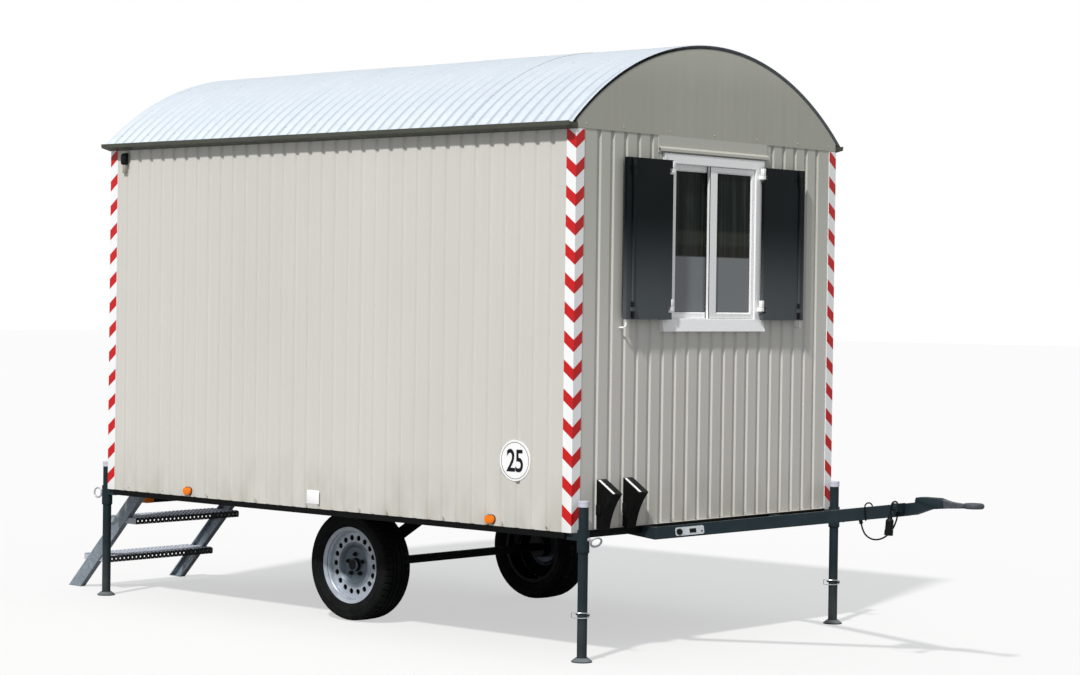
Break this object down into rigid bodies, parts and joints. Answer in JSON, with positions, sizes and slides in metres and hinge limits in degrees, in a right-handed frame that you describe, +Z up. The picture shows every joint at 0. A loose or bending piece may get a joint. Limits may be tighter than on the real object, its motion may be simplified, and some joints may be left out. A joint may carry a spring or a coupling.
{
  "type": "portable site cabin",
  "caption": "Ribbed steel site cabin with an arched corrugated roof on one axle, with a V drawbar, corner legs, front window with shutters and rear stair.",
  "frame": {"origin": "middle of the overall footprint, from the tow eye to the foot of the stair, on the ground", "axes": "+X forward along the drawbar, +Y to the left side, +Z up"},
  "size_m": [5.6988, 2.27, 3.027],
  "materials": {
    "wall_paint": "satin",
    "gable_paint": "satin",
    "roof_metal": "galvanised",
    "galvanised": "galvanised",
    "frame_paint": "satin",
    "gutter_paint": "satin",
    "shutter_paint": "satin",
    "strip_paint": "gloss",
    "window_plastic": "gloss",
    "pane": "clear",
    "lining": "matt",
    "floor_board": "matt",
    "tyre": "matt",
    "rim_paint": "satin",
    "hub_paint": "matt",
    "black_rubber": "matt",
    "black_plastic": "matt",
    "lamp_plastic": "gloss",
    "disc_plastic": "satin",
    "holder_plastic": "matt",
    "zinc": "bright"
  },
  "bodies": {
    "cabin": {"side_rails": "frame_paint", "end_rails": "frame_paint", "main_beams": "frame_paint", "cross_beams": "frame_paint", "floor_panel": "floor_board", "right_wall": "wall_paint", "left_wall": "wall_paint", "front_wall": "wall_paint", "rear_wall": "wall_paint", "front_gable_board": "gable_paint", "rear_gable_board": "gable_paint", "roof_sheet": "roof_metal", "ceiling_lining": "lining", "eave_gutters": "gutter_paint", "corner_strips": "strip_paint", "window_frame": "window_plastic", "window_sashes": "window_plastic", "window_glass": "pane", "window_sill": "window_plastic", "window_flashing": "wall_paint", "shutter_hinges": "window_plastic", "shutter_holders": "holder_plastic", "rear_door_frame": "gable_paint", "rear_door": "wall_paint", "rear_door_handle": "black_plastic", "stair_stringers": "galvanised", "stair_treads": "galvanised", "axle": "frame_paint", "axle_struts": "frame_paint", "leg_brackets": "frame_paint", "leg_lock_pins": "zinc", "drawbar_arm_left": "frame_paint", "drawbar_arm_right": "frame_paint", "tow_beam": "frame_paint", "tow_eye": "frame_paint", "socket_plate": "zinc", "cable_gland": "black_plastic", "cable_hook": "zinc", "trailer_cable": "black_rubber", "trailer_plug": "black_plastic", "wheel_chocks": "black_rubber", "side_lamps": "lamp_plastic", "tail_lamps": "black_plastic", "speed_disc": "disc_plastic", "power_inlet": "black_plastic"},
    "wheel_left": {"tyre_left": "tyre", "rim_left": "rim_paint", "hub_left": "hub_paint"},
    "wheel_right": {"tyre_right": "tyre", "rim_right": "rim_paint", "hub_right": "hub_paint"},
    "left_shutter": {"shutter_left": "shutter_paint"},
    "right_shutter": {"shutter_right": "shutter_paint"},
    "front_left_leg": {"leg_front_left": "frame_paint"},
    "front_right_leg": {"leg_front_right": "frame_paint"},
    "rear_left_leg": {"leg_rear_left": "frame_paint"},
    "rear_right_leg": {"leg_rear_right": "frame_paint"}
  },
  "joints": [
    {"name": "wheel_left_spin", "type": "hinge", "parent": "cabin", "child": "wheel_left", "pos_m": [-0.54411, 0.729, 0.2975], "axis": [0, 1, 0], "continuous": true},
    {"name": "wheel_right_spin", "type": "hinge", "parent": "cabin", "child": "wheel_right", "pos_m": [-0.54411, -0.729, 0.2975], "axis": [0, 1, 0], "continuous": true},
    {"name": "left_shutter_hinge", "type": "hinge", "parent": "cabin", "child": "left_shutter", "pos_m": [1.27539, 0.375, 2.03], "axis": [0, 0, -1], "range_deg": [0, 178]},
    {"name": "right_shutter_hinge", "type": "hinge", "parent": "cabin", "child": "right_shutter", "pos_m": [1.27539, -0.375, 2.03], "axis": [0, 0, 1], "range_deg": [0, 178]},
    {"name": "front_left_leg_slide", "type": "slide", "parent": "cabin", "child": "front_left_leg", "axis": [0, 0, 1], "range_m": [0, 0.26]},
    {"name": "front_right_leg_slide", "type": "slide", "parent": "cabin", "child": "front_right_leg", "axis": [0, 0, 1], "range_m": [0, 0.26]},
    {"name": "rear_left_leg_slide", "type": "slide", "parent": "cabin", "child": "rear_left_leg", "axis": [0, 0, 1], "range_m": [0, 0.26]},
    {"name": "rear_right_leg_slide", "type": "slide", "parent": "cabin", "child": "rear_right_leg", "axis": [0, 0, 1], "range_m": [0, 0.26]}
  ]
}
